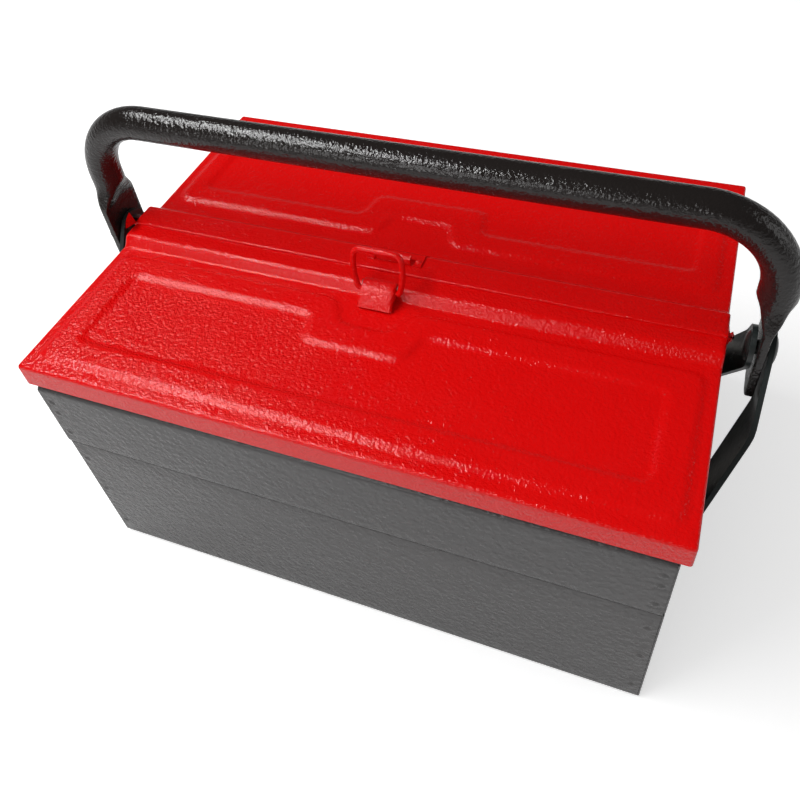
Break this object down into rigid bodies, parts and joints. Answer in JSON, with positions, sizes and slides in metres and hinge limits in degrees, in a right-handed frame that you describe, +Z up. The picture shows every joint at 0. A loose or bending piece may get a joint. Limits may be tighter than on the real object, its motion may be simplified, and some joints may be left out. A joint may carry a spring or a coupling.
{
  "type": "cantilever tool box",
  "caption": "Steel tool box whose lidded trays swing out on parallel links, with an upright tube handle, side straps and a wire-bail draw latch.",
  "frame": {"origin": "middle of the footprint, on the surface the box stands on", "axes": "+X along the length, -Y towards the front lid, +Z up"},
  "size_m": [0.357, 0.2232, 0.2245],
  "materials": {
    "lid_paint": "gloss red enamel with fine orange peel, chipped at the edges",
    "body_paint": "dark grey grained enamel, semi-gloss",
    "handle_paint": "black fine-textured enamel, glossy",
    "strap_paint": "thin black-green enamel over steel",
    "plated_steel": "dull plated steel"
  },
  "bodies": {
    "box": {"bottom_box": "body_paint", "bottom_end_left": "body_paint", "bottom_end_right": "body_paint", "box_link_rivets": "plated_steel", "front_left_strap": "strap_paint", "front_right_strap": "strap_paint", "rear_left_strap": "strap_paint", "rear_right_strap": "strap_paint", "handle_rivets": "strap_paint"},
    "handle": {"handle_tube": "handle_paint"},
    "front_outer_links": {"front_outer_link_left": "strap_paint", "front_outer_link_right": "strap_paint"},
    "front_inner_links": {"front_inner_link_left": "strap_paint", "front_inner_link_right": "strap_paint"},
    "front_tray": {"front_tray": "body_paint", "front_tray_end_left": "body_paint", "front_tray_end_right": "body_paint", "front_tray_rivets": "plated_steel", "front_hinge_rod": "plated_steel"},
    "rear_outer_links": {"rear_outer_link_left": "strap_paint", "rear_outer_link_right": "strap_paint"},
    "rear_inner_links": {"rear_inner_link_left": "strap_paint", "rear_inner_link_right": "strap_paint"},
    "rear_tray": {"rear_tray": "body_paint", "rear_tray_end_left": "body_paint", "rear_tray_end_right": "body_paint", "rear_tray_rivets": "plated_steel", "rear_hinge_rod": "plated_steel"},
    "front_lid": {"front_lid": "lid_paint", "latch_base": "lid_paint", "latch_base_rivets": "lid_paint", "latch_pin": "plated_steel"},
    "rear_lid": {"rear_lid": "lid_paint", "keeper_plate": "lid_paint", "keeper_rivets": "lid_paint"},
    "latch_lever": {"latch_lever": "lid_paint"},
    "latch_bail": {"latch_bail": "lid_paint"}
  },
  "joints": [
    {"name": "handle_swing", "type": "hinge", "parent": "box", "child": "handle", "pos_m": [0, 0, 0.144], "axis": [1, 0, 0], "range_deg": [-70, 70]},
    {"name": "tray_opening", "type": "hinge", "parent": "box", "child": "front_outer_links", "pos_m": [0, -0.076, 0.061], "axis": [1, 0, 0], "range_deg": [0, 87]},
    {"name": "front_tray_level", "type": "hinge", "parent": "front_outer_links", "child": "front_tray", "pos_m": [0, -0.025, 0.112], "axis": [1, 0, 0], "range_deg": [-87, 0]},
    {"name": "front_inner_swing", "type": "hinge", "parent": "box", "child": "front_inner_links", "pos_m": [0, -0.058, 0.061], "axis": [1, 0, 0], "range_deg": [0, 87]},
    {"name": "rear_outer_swing", "type": "hinge", "parent": "box", "child": "rear_outer_links", "pos_m": [0, 0.076, 0.061], "axis": [-1, 0, 0], "range_deg": [0, 87]},
    {"name": "rear_tray_level", "type": "hinge", "parent": "rear_outer_links", "child": "rear_tray", "pos_m": [0, 0.025, 0.112], "axis": [-1, 0, 0], "range_deg": [-87, 0]},
    {"name": "rear_inner_swing", "type": "hinge", "parent": "box", "child": "rear_inner_links", "pos_m": [0, 0.058, 0.061], "axis": [-1, 0, 0], "range_deg": [0, 87]},
    {"name": "lid_opening", "type": "hinge", "parent": "rear_tray", "child": "rear_lid", "pos_m": [0, 0.109, 0.1376], "axis": [-1, 0, 0], "range_deg": [0, 92]},
    {"name": "front_lid_hinge", "type": "hinge", "parent": "front_tray", "child": "front_lid", "pos_m": [0, -0.109, 0.1376], "axis": [1, 0, 0], "range_deg": [0, 92]},
    {"name": "latch_lever_hinge", "type": "hinge", "parent": "front_lid", "child": "latch_lever", "pos_m": [-0.004, -0.0203, 0.1569], "axis": [-1, 0, 0], "range_deg": [0, 60]},
    {"name": "latch_bail_swing", "type": "hinge", "parent": "latch_lever", "child": "latch_bail", "pos_m": [-0.004, -0.0234, 0.1562], "axis": [-1, 0, 0], "range_deg": [-103, 8]}
  ],
  "couplings": [
    {"joint": "front_tray_level", "follows": "tray_opening", "ratio": -1},
    {"joint": "front_inner_swing", "follows": "tray_opening", "ratio": 1},
    {"joint": "rear_outer_swing", "follows": "tray_opening", "ratio": 1},
    {"joint": "rear_tray_level", "follows": "tray_opening", "ratio": -1},
    {"joint": "rear_inner_swing", "follows": "tray_opening", "ratio": 1},
    {"joint": "front_lid_hinge", "follows": "lid_opening", "ratio": 1}
  ]
}
